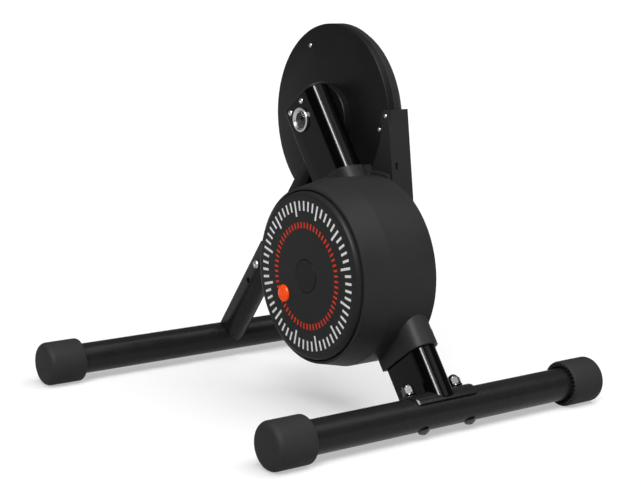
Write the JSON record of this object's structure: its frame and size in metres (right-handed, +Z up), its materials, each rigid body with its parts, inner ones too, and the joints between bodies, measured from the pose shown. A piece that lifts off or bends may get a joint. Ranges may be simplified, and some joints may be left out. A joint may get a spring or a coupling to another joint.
{
  "type": "direct drive bike trainer",
  "caption": "Indoor bicycle trainer stand that holds the frame by a hollow axle and drives a flywheel with a magnetic brake through a belt.",
  "frame": {"origin": "on the floor under the middle of the footprint", "axes": "+X to the drive side (right), +Y forwards in the direction of travel, +Z up"},
  "size_m": [0.564, 0.499, 0.4564],
  "materials": {
    "black_paint": "satin gloss black powder coat on steel",
    "black_plastic": "matte black moulded nylon",
    "rubber": "dull black moulded rubber",
    "belt_rubber": "dull black ribbed belt",
    "zinc": "bright zinc plate",
    "bright_steel": "turned and ground steel",
    "aluminium": "turned aluminium",
    "cast_iron": "turned grey cast iron",
    "copper": "enamelled copper winding",
    "orange_lens": "glossy orange moulding",
    "circuit_board": "green solder mask"
  },
  "bodies": {
    "frame": {"rear_foot_cap_left": "rubber", "rear_foot_cap_right": "rubber", "front_foot_cap_left": "rubber", "front_foot_cap_right": "rubber", "rear_crossbar": "black_paint", "front_crossbar": "black_paint", "saddle_plate": "black_paint", "foot_bolt_left": "black_paint", "foot_bolt_right": "black_paint", "foot_washer_left": "black_paint", "foot_washer_right": "black_paint", "foot_nut_left": "black_paint", "foot_nut_right": "black_paint", "main_post": "black_paint", "post_top_cap": "black_plastic", "cap_screw_1": "zinc", "cap_screw_2": "zinc", "front_leg": "black_paint", "leg_bolt": "zinc", "leg_nut": "zinc", "axle": "bright_steel", "axle_end_nut": "bright_steel", "shaft_bearing_left": "bright_steel", "shaft_bearing_right": "bright_steel", "brake_core": "cast_iron", "brake_coil_1": "copper", "brake_coil_2": "copper", "brake_coil_3": "copper", "brake_coil_4": "copper", "brake_bracket": "aluminium", "drive_belt": "belt_rubber", "tensioner_pin": "zinc", "belt_cover_inner": "black_plastic", "belt_cover_outer": "black_plastic", "cover_screw_1": "zinc", "cover_screw_2": "zinc", "cover_screw_3": "zinc", "belt_guard": "black_plastic", "guard_screw": "zinc", "drum_housing": "black_plastic", "drum_front_cover": "black_plastic", "hub_cap": "black_plastic", "status_lens": "orange_lens", "control_board": "circuit_board", "power_inlet": "black_plastic"},
    "pulley": {"large_pulley": "aluminium", "hub_bearing_left": "bright_steel", "hub_bearing_right": "bright_steel", "ratchet_ring": "bright_steel"},
    "freehub": {"freehub_body": "aluminium", "freehub_bearing_left": "bright_steel", "freehub_bearing_right": "bright_steel"},
    "pawl_a": {"pawl_1": "bright_steel"},
    "pawl_b": {"pawl_2": "bright_steel"},
    "pawl_c": {"pawl_3": "bright_steel"},
    "flywheel_set": {"flywheel": "cast_iron", "flywheel_shaft": "bright_steel", "small_pulley": "bright_steel"},
    "tensioner": {"tensioner_arm": "zinc"},
    "idler": {"idler_pulley": "black_plastic"}
  },
  "joints": [
    {"name": "pulley_spin", "type": "hinge", "parent": "frame", "child": "pulley", "pos_m": [0.039, 0.0285, 0.34], "axis": [-1, 0, 0], "continuous": true},
    {"name": "freehub_spin", "type": "hinge", "parent": "pulley", "child": "freehub", "pos_m": [0.088, 0.0285, 0.34], "axis": [-1, 0, 0], "continuous": true},
    {"name": "flywheel_spin", "type": "hinge", "parent": "frame", "child": "flywheel_set", "pos_m": [-0.056, -0.07422, 0.16772], "axis": [-1, 0, 0], "continuous": true},
    {"name": "tensioner_swing", "type": "hinge", "parent": "frame", "child": "tensioner", "pos_m": [0.0302, 0.01022, 0.22825], "axis": [-1, 0, 0], "range_deg": [0, 10], "stiffness_Nm_per_rad": 4},
    {"name": "idler_spin", "type": "hinge", "parent": "tensioner", "child": "idler", "pos_m": [0.039, -0.01039, 0.19867], "axis": [-1, 0, 0], "continuous": true},
    {"name": "pawl_a_rock", "type": "hinge", "parent": "freehub", "child": "pawl_a", "pos_m": [0.0639, 0.0285, 0.3526], "axis": [-1, 0, 0], "range_deg": [0, 15], "stiffness_Nm_per_rad": 0.05},
    {"name": "pawl_b_rock", "type": "hinge", "parent": "freehub", "child": "pawl_b", "pos_m": [0.0639, 0.01759, 0.3337], "axis": [-1, 0, 0], "range_deg": [0, 15], "stiffness_Nm_per_rad": 0.05},
    {"name": "pawl_c_rock", "type": "hinge", "parent": "freehub", "child": "pawl_c", "pos_m": [0.0639, 0.03941, 0.3337], "axis": [-1, 0, 0], "range_deg": [0, 15], "stiffness_Nm_per_rad": 0.05}
  ],
  "couplings": [
    {"joint": "flywheel_spin", "follows": "pulley_spin", "ratio": 4.3333},
    {"joint": "idler_spin", "follows": "pulley_spin", "ratio": 8}
  ]
}
